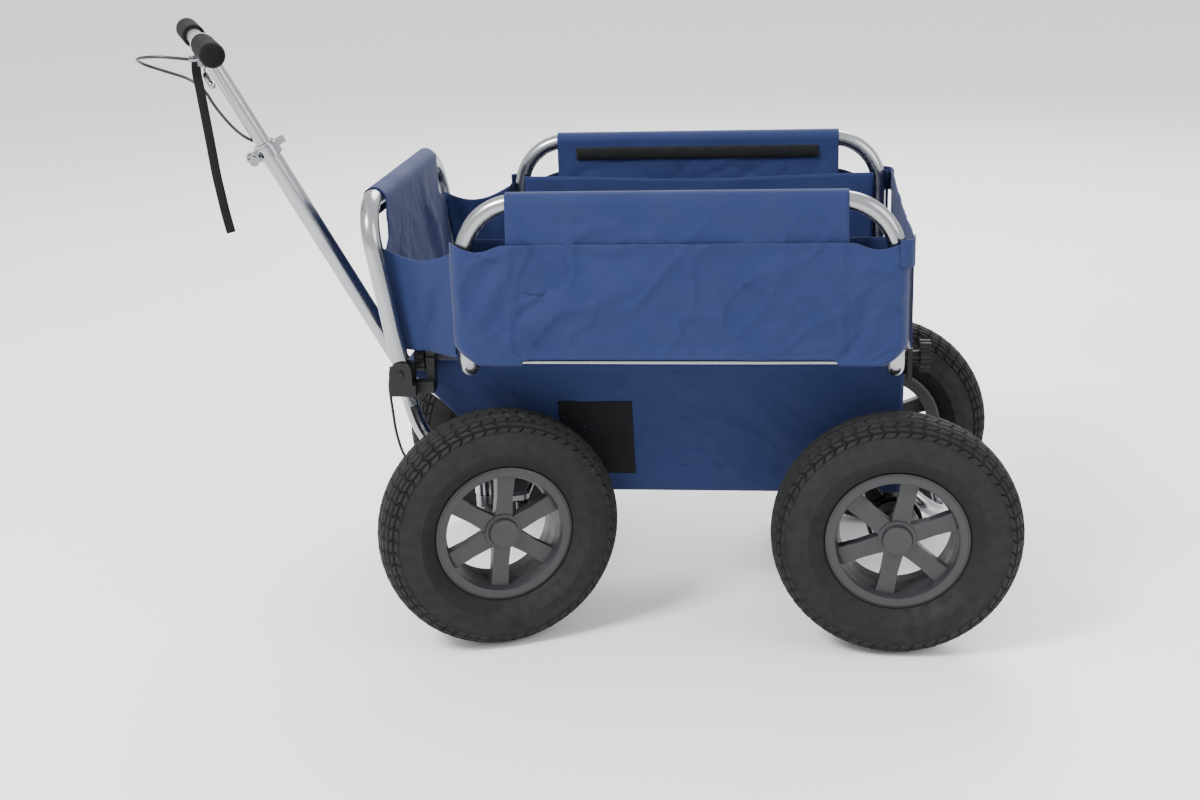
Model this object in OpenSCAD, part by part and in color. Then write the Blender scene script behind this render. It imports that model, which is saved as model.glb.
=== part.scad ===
// Folding four-wheel beach cart. Millimetres, +Z up, the handle points to -X, the
// near side is -Y. The origin is on the ground, halfway between the axles, on the
// centre plane.

/* [Wheels] */
// Outer radius of each tyre
tyre_r = 160; // [156:1:161]
// Width of each tyre
tyre_w = 93; // [86:1:94]
// Radius of the rim flange
rim_r = 90; // [86:1:92]
// Distance between the front and rear axles
wheelbase = 541; // [540:1:546]
// Distance between the middle planes of the left and right tyres
track = 462.4; // [462:0.2:466]
// Number of spokes in a rim
spoke_count = 6; // [5:1:7]

/* [Steering] */
// Angle that the front wheels and the handle stand at
steer = 23.5; // [22:0.1:24]
// Distance from a king pin to the middle plane of its tyre
pin_offset = 68.8; // [68:0.2:70]
// Length of the steering arms behind their pins
arm_l = 50; // [48:1:52]

/* [Handle] */
// Angle of the telescopic handle above the ground
handle_tilt = 62.9; // [62:0.1:64]
// Outer diameter of the lower handle tube
lower_d = 25; // [24:0.5:26]
// Outer diameter of the sliding handle tube
slide_d = 20; // [19:0.5:20]
// Length of the sliding tube hidden in the lower tube
slide_in = 290; // [260:5:300]
// Half width of the cross bar
tee_half = 210; // [200:2:214]
// Outer diameter of the foam grips
grip_d = 30; // [28:1:32]

/* [Frame] */
// Outer diameter of the side hoops
hoop_d = 22; // [20:0.5:22]
// Outer diameter of the front hoop
front_d = 24; // [22:0.5:24]
// Outer diameter of the bed tubes
bed_d = 20; // [18:1:20]
// Height of the side hoops' top bar
hoop_z = 592; // [588:1:600]
// Distance of the side hoops from the centre plane
hoop_y = 243; // [242:0.5:245]
// Height of the hinge rails
rail_z = 379; // [378:0.5:380]
// Distance of the hinge rails from the centre plane
rail_y = 178; // [177:0.5:178]
// Lean of the front hoop
front_lean = 9.3; // [8:0.1:10]
// Diameter of the star knobs
knob_d = 42; // [38:1:42]

/* [Bag] */
// Height of the tub's lower hem
hem_z = 172; // [171:0.5:173]
// Height of the tub's floor
floor_z = 210; // [210:0.5:212]
// Half width of the tub at its hem
tub_low = 120; // [118:1:120]
// Half width of the tub at its mouth
tub_top = 172; // [170:0.5:172]
// Thickness of the doubled cloth
cloth = 3; // [2.5:0.5:3]

/* [Hidden] */

fine = 64;
front_x = -wheelbase / 2;
rear_x = wheelbase / 2;
pin_y = track / 2 - pin_offset;
beam_z = 199;
bed_y = 108;
arm_z = 168;
arm_t = 7;
axle_r = 7;
pin_r = 6;

// Side hoop layout
hoop_r = hoop_d / 2;
hoop_x0 = -268;
hoop_x1 = 264;
hoop_bend = 70;
foot_bend = 16;

// Front hoop layout
pivot_x = -361;
pivot_z = 368;
front_y = 214;
front_h = 219;
front_bend = 55;

// Handle layout, in the plane of the handle
eye_r = 30;
eye_z = 238;
low_tilt = 41.1;
corner_r = 142;
corner_z = eye_z + (corner_r - eye_r) * tan(low_tilt);
bend_r = 60;
clamp_s = 342;
tee_s = 505;
bend_a = handle_tilt - low_tilt;
bend_l = bend_r * tan(bend_a / 2);

// Routes of the cords, in the steered frame of the handle
cable_upper_route = [[-390, -53, 768], [-404, -50, 770], [-424, -42, 772], [-442, -26, 771],
    [-450, -4, 767], [-444, 16, 760], [-428, 28, 752], [-408, 30, 744], [-390, 24, 737],
    [-376, 14, 728], [-368, 6, 718], [-362, 2, 706], [-352, 0, 690], [-340, 0, 674],
    [-328, 0, 662], [-316, 0, 654]];
cable_lower_route = [[-157, 0, 330], [-158, 0, 318], [-160, 2, 302], [-159, 4, 282],
    [-157, 6, 260], [-155, 8, 238], [-151, 10, 216], [-145, 12, 196], [-134, 14, 178],
    [-118, 16, 164], [-98, 16, 156], [-76, 16, 153], [-58, 15, 156], [-46, 14, 162]];
cable_rear_route = [[-258, -30, 186], [-240, -42, 186], [-215, -66, 187], [-180, -88, 188],
    [-140, -93, 188], [-80, -93, 188], [0, -93, 188], [80, -93, 188], [140, -93, 187],
    [180, -97, 180], [198, -108, 168], [208, -124, 166], [214, -144, 168], [218, -160, 173],
    [221, -170, 178]];
strap_route = [[-375, -40, 771], [-380, -40, 764], [-381, -40, 750], [-379, -40, 730],
    [-377, -40, 708], [-375, -41, 686], [-373, -41, 664], [-371, -42, 640], [-369, -42, 618],
    [-366, -42, 596], [-363, -42, 574], [-360, -43, 556], [-358, -43, 545]];

// ---- helpers ----

// Puts children in the frame that turns with the handle
module steered() {
    translate([front_x, 0, 0]) rotate([0, 0, steer]) children();
}

// Puts children at a king pin, side -1 near or 1 far
module at_pin(side) {
    translate([front_x, side * pin_y, 0]) rotate([0, 0, steer]) children();
}

// Mirrors children to the far side when side is 1
module on_side(side) {
    mirror([0, side > 0 ? 1 : 0, 0]) children();
}

module both_sides() {
    for (side = [-1, 1]) on_side(side) children();
}

// Wheel frame: +Z is the outboard axis and the wheel's middle plane is Z 0
module at_wheel(front, side) {
    if (front)
        at_pin(side) on_side(side) translate([0, -pin_offset, tyre_r])
            rotate([90, 0, 0]) children();
    else
        on_side(side) translate([rear_x, -track / 2, tyre_r]) rotate([90, 0, 0]) children();
}

// A round bar between two points
module bar(a, b, r) {
    d = b - a;
    l = norm(d);
    translate(a) rotate([0, acos(d[2] / l), atan2(d[1], d[0])]) cylinder(h = l, r = r, $fn = fine);
}

// A quarter turn or less of round tube, in the X Y plane about the origin
module elbow(bend, r, from, sweep) {
    rotate([0, 0, from]) rotate_extrude(angle = sweep, $fn = fine)
        translate([bend, 0]) circle(r = r, $fn = fine);
}

// Smooth points through a route, n steps between each pair
function spline_point(p, i, t) =
    let (a = p[max(i - 1, 0)], b = p[i], c = p[i + 1], d = p[min(i + 2, len(p) - 1)])
    0.5 * ((2 * b) + (c - a) * t + (2 * a - 5 * b + 4 * c - d) * t * t
        + (3 * b - a - 3 * c + d) * t * t * t);
function smooth(p, n) = [for (i = [0 : len(p) - 2], k = [0 : n - 1]) spline_point(p, i, k / n),
    p[len(p) - 1]];
function unit(v) = v / norm(v);
function heading(p, i) = unit(p[min(i + 1, len(p) - 1)] - p[max(i - 1, 0)]);

// One polyhedron swept along a route, with an elliptical section
module swept(p, ra, rb, sides, up) {
    rings = [for (i = [0 : len(p) - 1])
        let (t = heading(p, i), u = unit(cross(up, t)), v = cross(t, u))
        for (k = [0 : sides - 1])
            p[i] + ra * cos(360 * k / sides) * u + rb * sin(360 * k / sides) * v];
    n = len(p);
    walls = [for (i = [0 : n - 2], k = [0 : sides - 1])
        let (a = i * sides + k, b = i * sides + (k + 1) % sides)
        each [[a, b, b + sides], [a, b + sides, a + sides]]];
    first = [[for (k = [sides - 1 : -1 : 0]) k]];
    last = [[for (k = [0 : sides - 1]) (n - 1) * sides + k]];
    polyhedron(points = rings, faces = [for (f = concat(walls, first, last)) [for (k = [len(f) - 1 : -1 : 0]) f[k]]]);
}

// ---- bed and axles ----

module bed_frame() {
    color("gainsboro") both_sides() {
        difference() {
            union() {
                bar([front_x + 11.1, -bed_y, beam_z], [258, -bed_y, beam_z], bed_d / 2);
                bar([262, -105, beam_z + 4], [262, -152, 352], 9);
                translate([rear_x - 12, -bed_y - 4, tyre_r - 14]) cube([24, 8, beam_z - tyre_r + 10]);
            }
            translate([rear_x, -bed_y - 20, tyre_r]) rotate([-90, 0, 0])
                cylinder(h = 40, r = axle_r, $fn = fine);
        }
    }
    color("gainsboro") bar([0, -bed_y, beam_z], [0, bed_y, beam_z], 8);
}

module front_beam() {
    color("gainsboro") difference() {
        union() {
            bar([front_x, -pin_y, beam_z], [front_x, pin_y, beam_z], 11);
            for (y = [-pin_y, 0, pin_y])
                translate([front_x, y, beam_z - 15]) cylinder(h = 30, r = 14, $fn = fine);
        }
        for (y = [-pin_y, 0, pin_y])
            translate([front_x, y, beam_z - 20]) cylinder(h = 40, r = pin_r, $fn = fine);
    }
}

module king_pins() {
    color("silver") for (y = [-pin_y, 0, pin_y]) translate([front_x, y, 0]) {
        translate([0, 0, 144]) cylinder(h = 80, r = pin_r, $fn = fine);
        translate([0, 0, 138]) cylinder(h = 6, r = 10, $fn = fine);
        translate([0, 0, beam_z + 15]) cylinder(h = 8, r = 10, $fn = 6);
    }
}

module rear_bow() {
    bow_l = 62;
    color("gainsboro") translate([258, 0, beam_z]) rotate([0, 40, 0]) {
        both_sides() {
            bar([-4, -bed_y, 0], [bow_l, -bed_y, 0], bed_d / 2);
            translate([bow_l, -bed_y + 45, 0]) elbow(45, bed_d / 2, 270, 90);
        }
        bar([bow_l + 45, -bed_y + 45, 0], [bow_l + 45, bed_y - 45, 0], bed_d / 2);
    }
}

module rear_axle() {
    color("silver") translate([rear_x, -track / 2 - 23, tyre_r]) rotate([-90, 0, 0])
        cylinder(h = track + 46, r = axle_r, $fn = fine);
}

module rear_brackets() {
    color("dimgray") both_sides() difference() {
        union() {
            translate([251, -163, 350]) cube([37, 20, 14]);
            translate([282, -192, 350]) cube([6, 49, 42]);
            translate([288, -rail_y, rail_z]) rotate([0, 90, 0]) cylinder(h = 9, r = 7.5, $fn = fine);
        }
        translate([270, -rail_y, rail_z]) rotate([0, 90, 0]) cylinder(h = 40, r = 5, $fn = fine);
        translate([262, -152, 340]) rotate([0, 0, 0]) cylinder(h = 12, r = 9.6, $fn = fine);
    }
}

strut_route = [[-358, -204, 344], [-367, -180, 334], [-370, -152, 316], [-368, -140, 292],
    [-361, -132, 264], [-346, -124, 236], [-322, -116, 214], [-296, -111, 200], [-282, -110, 199]];

module front_struts() {
    color("gainsboro") both_sides()
        swept(smooth(strut_route, 2), 10, 10, 16, [0, 1, 0]);
}

module hoop_joints() {
    color("dimgray") both_sides() difference() {
        union() {
            // cheeks each side of the hoop's lug
            for (y = [-228, -205])
                translate([0, y, 0]) rotate([90, 0, 0]) translate([0, 0, -5]) linear_extrude(5)
                    hull() {
                        translate([pivot_x, pivot_z]) circle(r = 15, $fn = 32);
                        translate([pivot_x - 13, 338]) square([28, 10]);
                    }
            // foot that joins the cheeks and takes the strut
            translate([-376, -228, 338]) cube([34, 28, 15]);
            translate([-350, -212, 338]) cube([28, 16, 15]);
            // column and boss for the rail
            translate([-333, -200, 340]) cube([11, 14, 42]);
            translate([-333, -rail_y, rail_z]) rotate([0, 90, 0]) cylinder(h = 11, r = 11, $fn = fine);
            translate([-333, -196, 368]) cube([11, 18, 22]);
            translate([pivot_x, -232, pivot_z]) rotate([-90, 0, 0]) cylinder(h = 35, r = 4, $fn = fine);
        }
        translate([-340, -rail_y, rail_z]) rotate([0, 90, 0]) cylinder(h = 40, r = 5, $fn = fine);
    }
}

module upper_rails() {
    color("dimgray") both_sides() {
        translate([-352, -rail_y, rail_z]) rotate([0, 90, 0]) cylinder(h = 662, r = 5, $fn = fine);
        for (x = [-289, 276.5]) translate([x, -rail_y, rail_z]) rotate([0, 90, 0])
            cylinder(h = x < 0 ? 8 : 5, r = 8, $fn = fine);
    }
}

module knob(x) {
    color("dimgray") translate([x, -rail_y, rail_z]) rotate([0, 90, 0]) difference() {
        union() {
            linear_extrude(13) union() {
                circle(r = knob_d / 2 - 4, $fn = fine);
                for (a = [0 : 51.4286 : 359]) rotate(a) translate([knob_d / 2 - 5, 0]) circle(r = 5, $fn = 24);
            }
            translate([0, 0, x > 0 ? -1 : 12]) cylinder(h = 2, r = 9, $fn = fine);
        }
        translate([0, 0, -3]) cylinder(h = 20, r = 5.05, $fn = fine);
    }
}

// ---- bag ----

// Half width of the tub's outer face at height z
function tub_y(z) = tub_low + (tub_top - tub_low) * (z - hem_z) / (364 - hem_z);
// X of the tub's sloping front face at height z
function tub_x(z) = -211.5 - (z - hem_z) / 1.225;

// The tub's outline between two heights, drawn in by inset and ending at x1
module tub_block(z0, z1, x1, inset) {
    intersection() {
        translate([-420, 0, 0]) rotate([90, 0, 90]) linear_extrude(420 + x1)
            polygon([[-tub_y(z0) + inset, z0], [tub_y(z0) - inset, z0],
                [tub_y(z1) - inset, z1], [-tub_y(z1) + inset, z1]]);
        translate([0, 200, 0]) rotate([90, 0, 0]) linear_extrude(400)
            polygon([[tub_x(z0) + inset * 1.3, z0], [x1, z0], [x1, z1], [tub_x(z1) + inset * 1.3, z1]]);
    }
}

module tub() {
    wall_x = 246;
    back_x = 278;
    color("royalblue") difference() {
        union() {
            tub_block(hem_z, 364, back_x + cloth, 0);
            translate([back_x, -138, 350]) cube([cloth, 276, 52]);
        }
        // load space, the space under the floor and the space of the rear posts
        tub_block(floor_z + cloth, 370, wall_x, cloth);
        tub_block(hem_z - 2, floor_z, wall_x, cloth);
        intersection() {
            tub_block(hem_z - 2, 370, back_x, cloth);
            translate([wall_x + cloth, -200, 100]) cube([60, 400, 300]);
        }
        // the front skirt stops short of the steering
        translate([0, 200, 0]) rotate([90, 0, 0]) linear_extrude(400)
            polygon([[-260, hem_z - 20], [-165, hem_z - 20], [-185, hem_z], [-226, 190], [-260, 190]]);
        for (side = [-1, 1]) on_side(side) {
            // ways out for the bed tube, the rear bow and the rail bracket
            translate([-300, -bed_y, beam_z]) rotate([0, 90, 0])
                cylinder(h = 100, r = bed_d / 2 + 0.6, $fn = fine);
            translate([wall_x - 2, -bed_y, beam_z]) rotate([0, 90, 0])
                cylinder(h = 20, r = bed_d / 2 + 0.6, $fn = fine);
            translate([back_x - 2, -121, hem_z - 2]) cube([8, 25, 28]);
            translate([back_x - 2, -164, 345]) cube([8, 26, 30]);
            // room for the front knob to turn
            translate([-352, -rail_y, rail_z]) rotate([0, 90, 0])
                cylinder(h = 20, r = knob_d / 2 + 1, $fn = fine);
        }
    }
}

module floor_board() {
    color("darkslategray") difference() {
        translate([-238, -118, floor_z + cloth]) cube([480, 236, 5]);
        for (x = [-90, 90]) translate([x - 1, -120, floor_z + cloth + 4]) cube([2, 240, 2]);
    }
}

module rear_panel() {
    color("royalblue") translate([281, -238, 405]) cube([cloth, 476, 140]);
}

module side_panel() {
    y_out = hoop_y + 14;
    color("royalblue") {
        // pocket cloth from hem to pocket mouth, and the sleeve panel above it
        translate([-284, -y_out - 5, 398]) cube([562, cloth, 145]);
        translate([-211, -y_out - 2, 540]) cube([416, cloth, hoop_z - 540]);
        translate([-284, -y_out - 5, 398]) cube([cloth, 22, 133]);
        // inner cloth
        translate([-250, -hoop_y + 12, 391]) cube([500, cloth, hoop_z - 391]);
        // sleeve round the top bar
        difference() {
            translate([-211, -hoop_y, hoop_z]) rotate([0, 90, 0]) cylinder(h = 416, r = 16, $fn = fine);
            translate([-300, -hoop_y, hoop_z]) rotate([0, 90, 0])
                cylinder(h = 600, r = hoop_r + 0.2, $fn = fine);
            translate([-300, -hoop_y - 30, hoop_z - 40]) cube([600, 60, 40]);
        }
    }
}

module hem_rod() {
    color("silver") bar([-232, -hoop_y - 17.5, 394.5], [236, -hoop_y - 17.5, 394.5], 3);
}

module side_hoop() {
    color("gainsboro") {
        bar([hoop_x0 + hoop_bend, -hoop_y, hoop_z], [hoop_x1 - hoop_bend, -hoop_y, hoop_z], hoop_r);
        translate([hoop_x0 + hoop_bend, -hoop_y, hoop_z - hoop_bend]) rotate([90, 0, 0])
            elbow(hoop_bend, hoop_r, 90, 90);
        translate([hoop_x1 - hoop_bend, -hoop_y, hoop_z - hoop_bend]) rotate([90, 0, 0])
            elbow(hoop_bend, hoop_r, 0, 90);
        for (x = [hoop_x0, hoop_x1]) {
            bar([x, -hoop_y, hoop_z - hoop_bend], [x, -hoop_y, rail_z + foot_bend], hoop_r);
            translate([x, -hoop_y + foot_bend, rail_z + foot_bend]) rotate([90, 0, 90])
                elbow(foot_bend, hoop_r, 180, 90);
            difference() {
                union() {
                    bar([x, -hoop_y + foot_bend, rail_z], [x, -rail_y - 6, rail_z], hoop_r);
                    bar([x - 12, -rail_y, rail_z], [x + 12, -rail_y, rail_z], 12);
                }
                bar([x - 20, -rail_y, rail_z], [x + 20, -rail_y, rail_z], 5.06);
            }
        }
    }
}

module front_frame() {
    translate([pivot_x, 0, pivot_z]) rotate([0, -front_lean, 0]) children();
}

module front_hoop() {
    color("gainsboro") front_frame() {
        both_sides() {
            bar([0, -front_y, 16.5], [0, -front_y, front_h - front_bend], front_d / 2);
            translate([0, -front_y + front_bend, front_h - front_bend]) rotate([90, 0, 90])
                elbow(front_bend, front_d / 2, 90, 90);
            difference() {
                union() {
                    bar([0, -front_y - 7.5, 0], [0, -front_y + 7.5, 0], 11);
                    translate([-9, -front_y - 7.5, 0]) cube([18, 15, 22]);
                }
                bar([0, -front_y - 9, 0], [0, -front_y + 9, 0], 4.06);
            }
        }
        bar([0, -front_y + front_bend, front_h], [0, front_y - front_bend, front_h], front_d / 2);
    }
}

module front_panel() {
    r = front_d / 2;
    color("royalblue") front_frame() {
        translate([0, 0, 0]) rotate([90, 0, 90]) linear_extrude(cloth)
            polygon([[-150, 12], [150, 12], [150, 50], [199, 50], [199, 150], [150, 150],
                [150, front_h - r - 1], [-150, front_h - r - 1], [-150, 150], [-199, 150],
                [-199, 50], [-150, 50]]);
        difference() {
            bar([0, -158, front_h], [0, 158, front_h], r + 2.2);
            bar([0, -170, front_h], [0, 170, front_h], r + 0.2);
        }
    }
}

module corner_gussets() {
    color("royalblue") both_sides() translate([0, 0, 395]) linear_extrude(145)
        polygon([[-364, -199], [-364, -196], [-285, -223], [-285, -226]]);
}

// ---- wheels ----

// Point of the tyre's round section at angle a from the crown, drawn in by inset
function tyre_section(a, inset) = [
    tyre_r - 62 + (62 - inset) * pow(max(cos(a), 0), 0.8),
    (tyre_w / 2 - inset) * sign(sin(a)) * pow(abs(sin(a)), 0.75)];

module tyre() {
    wall = 6;
    color("dimgray") rotate_extrude($fn = 96) polygon(concat(
        [for (a = [-84 : 12 : 84]) tyre_section(a, 0)],
        [[rim_r + 1, 27.5], [rim_r - 6, 26], [rim_r - 6, 20]],
        [for (a = [84 : -12 : -84]) tyre_section(a, wall)],
        [[rim_r - 6, -20], [rim_r - 6, -26], [rim_r + 1, -27.5]]));
}

module rim() {
    color("gray") {
        rotate_extrude($fn = 96) polygon([[rim_r - 10, 28], [rim_r, 28.5], [rim_r + 0.5, 30.5],
            [rim_r - 3, 32], [rim_r - 12, 31], [rim_r - 14, 26], [rim_r - 17, 12], [rim_r - 19, -10],
            [rim_r - 18, -31], [rim_r - 3, -32], [rim_r + 0.5, -30.5], [rim_r, -28.5],
            [rim_r - 10, -28], [rim_r - 13, -22], [rim_r - 13, 22]]);
        difference() {
            union() {
                cylinder(h = 23, r1 = 25, r2 = 24, $fn = fine);
                translate([0, 0, -30]) cylinder(h = 31, r = 20, $fn = fine);
                for (k = [0 : spoke_count - 1]) rotate(360 * k / spoke_count) {
                    translate([0, 0, 6]) linear_extrude(15)
                        polygon([[14, -12], [48, -10.5], [rim_r - 14, -12], [rim_r - 14, 12], [48, 10.5], [14, 12]]);
                }
            }
            translate([0, 0, -40]) cylinder(h = 80, r = axle_r + 0.1, $fn = fine);
            translate([0, 0, 17]) cylinder(h = 10, r = 16, $fn = fine);
        }
    }
}

module hub_cap() {
    color("dimgray") {
        translate([0, 0, 23.5]) cylinder(h = 4.5, r1 = 19.5, r2 = 18, $fn = fine);
        difference() {
            translate([0, 0, 18]) cylinder(h = 6, r = 15.9, $fn = fine);
            translate([0, 0, 17.9]) cylinder(h = 7, r = 13, $fn = fine);
        }
    }
}

module wheel_pose(front) { rotate(front ? 24 : 19) children(); }

module brake_drum() {
    color("gray") difference() {
        translate([0, 0, -44]) cylinder(h = 13.8, r = 31, $fn = fine);
        translate([0, 0, -50]) cylinder(h = 30, r = axle_r + 0.1, $fn = fine);
    }
}

module brake_covers() {
    color("dimgray") for (side = [-1, 1]) at_wheel(false, side) difference() {
        union() {
            translate([0, 0, -50]) cylinder(h = 4, r = 36, $fn = fine);
            translate([0, 0, -46.5]) cylinder(h = 12, r = 36, $fn = fine);
            translate([-28, 34, -50]) cylinder(h = 4, r = 10, $fn = fine);
            translate([-28, 34, -60]) cylinder(h = 12, r = 3, $fn = fine);
        }
        translate([0, 0, -46]) cylinder(h = 20, r = 33, $fn = fine);
        translate([0, 0, -60]) cylinder(h = 30, r = axle_r, $fn = fine);
    }
}

module brake_cam(side) {
    color("silver") at_wheel(false, side) translate([-28, 34, -55])
        difference() {
            linear_extrude(4) hull() {
                circle(r = 7, $fn = 32);
                translate([-20, -14]) circle(r = 4, $fn = 32);
            }
            translate([0, 0, -1]) cylinder(h = 8, r = 3.06, $fn = fine);
        }
}

// ---- steering ----

// Arm behind a steering pin, with the stud that drives the tie rod
module steering_arm() {
    translate([0, 0, arm_z]) difference() {
        linear_extrude(arm_t) union() {
            circle(r = 13, $fn = fine);
            translate([0, -8]) square([arm_l, 16]);
            translate([arm_l, 0]) circle(r = 8, $fn = fine);
        }
        translate([0, 0, -1]) cylinder(h = arm_t + 2, r = pin_r + 0.06, $fn = fine);
    }
    translate([arm_l, 0, 150]) cylinder(h = arm_z - 149, r = 4, $fn = fine);
}

module pin_sleeve() {
    translate([0, 0, 145]) difference() {
        cylinder(h = 38, r = 13, $fn = fine);
        translate([0, 0, -1]) cylinder(h = 40, r = pin_r + 0.06, $fn = fine);
    }
}

module knuckle(side) {
    color("silver") at_pin(side) {
        pin_sleeve();
        steering_arm();
        on_side(side) {
            translate([0, -10, tyre_r]) rotate([90, 0, 0])
                cylinder(h = pin_offset + 23 - 10, r = axle_r, $fn = fine);
            translate([0, -10, tyre_r]) rotate([90, 0, 0]) cylinder(h = 28, r = 11, $fn = fine);
        }
    }
}

module swivel_yoke() {
    color("dimgray") steered() {
        pin_sleeve();
        steering_arm();
        difference() {
            translate([-48, -20, arm_z]) cube([40, 40, arm_t]);
            translate([0, 0, arm_z - 1]) cylinder(h = 10, r = 12, $fn = fine);
        }
        for (y = [-20, 15]) difference() {
            translate([0, y + 5, 0]) rotate([90, 0, 0]) linear_extrude(5) hull() {
                translate([-eye_r - 4, eye_z]) circle(r = 13, $fn = 32);
                translate([-48, arm_z]) square([24, 10]);
            }
            translate([-eye_r, y - 1, eye_z]) rotate([-90, 0, 0]) cylinder(h = 8, r = 4, $fn = fine);
        }
    }
}

module tilt_bolt() {
    color("silver") steered() translate([-eye_r, 0, eye_z]) rotate([90, 0, 0]) {
        translate([0, 0, -22]) cylinder(h = 44, r = 4, $fn = fine);
        translate([0, 0, 20]) cylinder(h = 6, r = 8, $fn = 6);
        translate([0, 0, -26]) cylinder(h = 6, r = 8, $fn = fine);
    }
}

module tie_rod() {
    a = [front_x + arm_l * cos(steer), arm_l * sin(steer)];
    color("dimgray") translate([a[0], a[1], 154]) difference() {
        union() {
            bar([0, -pin_y, 5], [0, pin_y, 5], 4);
            for (y = [-pin_y, 0, pin_y]) translate([0, y, 0]) cylinder(h = 10, r = 9, $fn = fine);
        }
        for (y = [-pin_y, 0, pin_y]) translate([0, y, -1]) cylinder(h = 12, r = 4.06, $fn = fine);
    }
}

// ---- handle ----

// Frame of the straight upper run: origin at the corner, +Z along the tube
module on_tube(s) {
    steered() translate([-corner_r, 0, corner_z]) rotate([0, handle_tilt - 90, 0])
        translate([0, 0, s]) children();
}

module on_drawbar(s) {
    steered() translate([-eye_r, 0, eye_z]) rotate([0, low_tilt - 90, 0])
        translate([0, 0, s]) children();
}

corner_s = norm([corner_r - eye_r, corner_z - eye_z]);

module drawbar_tube() {
    r = lower_d / 2;
    color("gainsboro") {
        on_drawbar(22) cylinder(h = corner_s - bend_l - 21, r = r, $fn = fine);
        on_drawbar(corner_s - bend_l) translate([bend_r, 0, 0]) rotate([90, 0, 0])
            elbow(bend_r, r + 0.3, 180 - bend_a, bend_a);
        difference() {
            on_tube(bend_l - 1) cylinder(h = clamp_s + 7 - bend_l, r = r, $fn = fine);
            on_tube(30) cylinder(h = 400, r = slide_d / 2 + 0.1, $fn = fine);
        }
    }
}

module drawbar_eye() {
    color("dimgray") difference() {
        union() {
            on_drawbar(0) rotate([90, 0, 0]) translate([0, 0, -14.5]) cylinder(h = 29, r = 14, $fn = fine);
            on_drawbar(8) cylinder(h = 34, r = 14.4, $fn = fine);
        }
        on_drawbar(22) cylinder(h = 30, r = lower_d / 2, $fn = fine);
        on_drawbar(0) rotate([90, 0, 0]) translate([0, 0, -20]) cylinder(h = 40, r = 4.06, $fn = fine);
    }
}

module clamp_collar() {
    color("silver") difference() {
        union() {
            on_tube(clamp_s - 8) cylinder(h = 16, r = 17, $fn = fine);
            on_tube(clamp_s + 8) cylinder(h = 4, r = 14, $fn = fine);
            on_tube(clamp_s - 6) translate([-28, -9, 0]) cube([14, 18, 12]);
            // bolt with its round nut
            on_tube(clamp_s) translate([-23, -12, 0]) rotate([90, 0, 0]) cylinder(h = 9, r = 6, $fn = fine);
            on_tube(clamp_s) translate([-23, 12, 0]) rotate([90, 0, 0]) cylinder(h = 24, r = 2.5, $fn = fine);
        }
        on_tube(clamp_s - 10) cylinder(h = 16, r = lower_d / 2, $fn = fine);
        on_tube(clamp_s - 10) cylinder(h = 40, r = slide_d / 2 + 0.1, $fn = fine);
        on_tube(clamp_s - 10) translate([-34, -1, 0]) cube([22, 2, 26]);
    }
}

module clamp_lever() {
    color("silver") on_tube(clamp_s) difference() {
        union() {
            translate([-23, 10, 0]) rotate([-90, 0, 0]) cylinder(h = 12, r = 7, $fn = fine);
            translate([-26, 18.5, -5]) cube([52, 4, 10]);
            translate([26, 20.5, -5]) cylinder(h = 10, r = 2, $fn = 24);
        }
        translate([-23, 0, 0]) rotate([-90, 0, 0]) cylinder(h = 30, r = 2.56, $fn = fine);
    }
}

module slide_tube() {
    color("gainsboro") difference() {
        on_tube(clamp_s - slide_in) cylinder(h = tee_s - clamp_s + slide_in - 10, r = slide_d / 2, $fn = fine);
        on_tube(clamp_s - slide_in - 1) cylinder(h = tee_s - clamp_s + slide_in - 20, r = slide_d / 2 - 1.6, $fn = fine);
    }
}

module tee_bar() {
    color("gainsboro") on_tube(tee_s) {
        difference() {
            rotate([90, 0, 0]) translate([0, 0, -tee_half]) cylinder(h = 2 * tee_half, r = 10, $fn = fine);
            rotate([90, 0, 0]) translate([0, 0, -tee_half - 1]) cylinder(h = 2 * tee_half + 2, r = 8.4, $fn = fine);
        }
    }
}

module grips() {
    color("dimgray") on_tube(tee_s) for (side = [-1, 1]) on_side(side) difference() {
        union() {
            translate([0, -76, 0]) rotate([90, 0, 0]) cylinder(h = tee_half - 76, r = grip_d / 2, $fn = fine);
            translate([0, -tee_half, 0]) rotate([90, 0, 0]) cylinder(h = 4, r1 = grip_d / 2 - 1, r2 = grip_d / 2 - 4, $fn = fine);
        }
        translate([0, -70, 0]) rotate([90, 0, 0]) cylinder(h = tee_half - 70, r = 10, $fn = fine);
    }
}

// The brake lever's own frame: under the cross bar, near side
module at_perch() {
    on_tube(tee_s) rotate([0, 90 - handle_tilt, 0]) children();
}

module brake_perch() {
    color("silver") at_perch() difference() {
        union() {
            translate([0, -46, 0]) rotate([90, 0, 0]) cylinder(h = 14, r = 14, $fn = fine);
            translate([-8, -60, -26]) cube([16, 14, 20]);
            translate([-8, -53, -17]) rotate([0, -90, 0]) cylinder(h = 10, r = 4, $fn = fine);
        }
        translate([0, -40, 0]) rotate([90, 0, 0]) cylinder(h = 30, r = 10, $fn = fine);
        translate([-3, -62, -30]) cube([6, 12, 14]);
        translate([-20, -56, -22]) rotate([0, 90, 0]) cylinder(h = 40, r = 2, $fn = fine);
    }
}

module brake_lever() {
    color("silver") at_perch() {
        translate([-2.5, -56, -22]) rotate([0, 90, 0]) cylinder(h = 5, r = 5.5, $fn = fine);
        translate([-7.5, -56, -22]) rotate([0, 90, 0]) cylinder(h = 15, r = 1.94, $fn = fine);
        bar([0, -58, -25], [0, -74, -36], 2.5);
        bar([0, -74, -36], [0, -150, -40], 4);
        translate([0, -150, -40]) sphere(r = 5, $fn = 32);
    }
}

module wrist_strap() {
    color("dimgray") steered() swept(smooth(strap_route, 3), 1.6, 6.5, 10, [1, 0, 0.2]);
}

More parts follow.
